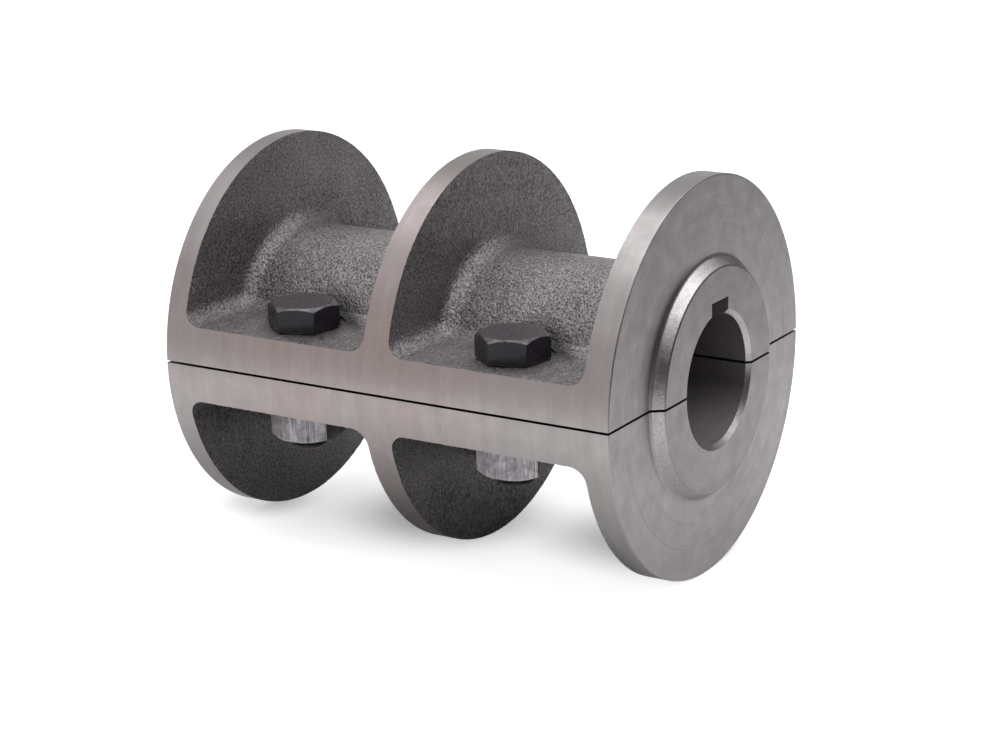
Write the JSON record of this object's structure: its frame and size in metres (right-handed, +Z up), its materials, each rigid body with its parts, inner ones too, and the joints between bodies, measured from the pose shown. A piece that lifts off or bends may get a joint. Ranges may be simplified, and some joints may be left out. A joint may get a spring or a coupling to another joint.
{
  "type": "ribbed coupling",
  "caption": "Rigid split coupling: ribbed cast-iron halves bolted together round a keyed through bore, turned to a common outside diameter, with a raised boss on each end face.",
  "frame": {"origin": "on the bore axis, midway between the two boss faces", "axes": "+X along the bore towards the visible boss face, -Y towards the near bolts, +Z up to the keyway; the halves part on Z = 0"},
  "size_m": [0.1954, 0.146, 0.146],
  "materials": {
    "cast_iron": "turned bright on the outside diameter, end faces and bore, rough as cast between the ribs",
    "blackened_bolt": "black oxide",
    "plain_nut": "plain bright steel, lightly drawn marks"
  },
  "bodies": {
    "root": {"upper_half": "cast_iron", "lower_half": "cast_iron", "bolt_near_left": "blackened_bolt", "bolt_near_right": "blackened_bolt", "bolt_far_left": "blackened_bolt", "bolt_far_right": "blackened_bolt", "nut_near_left": "plain_nut", "nut_near_right": "plain_nut", "nut_far_left": "plain_nut", "nut_far_right": "plain_nut"}
  },
  "joints": []
}
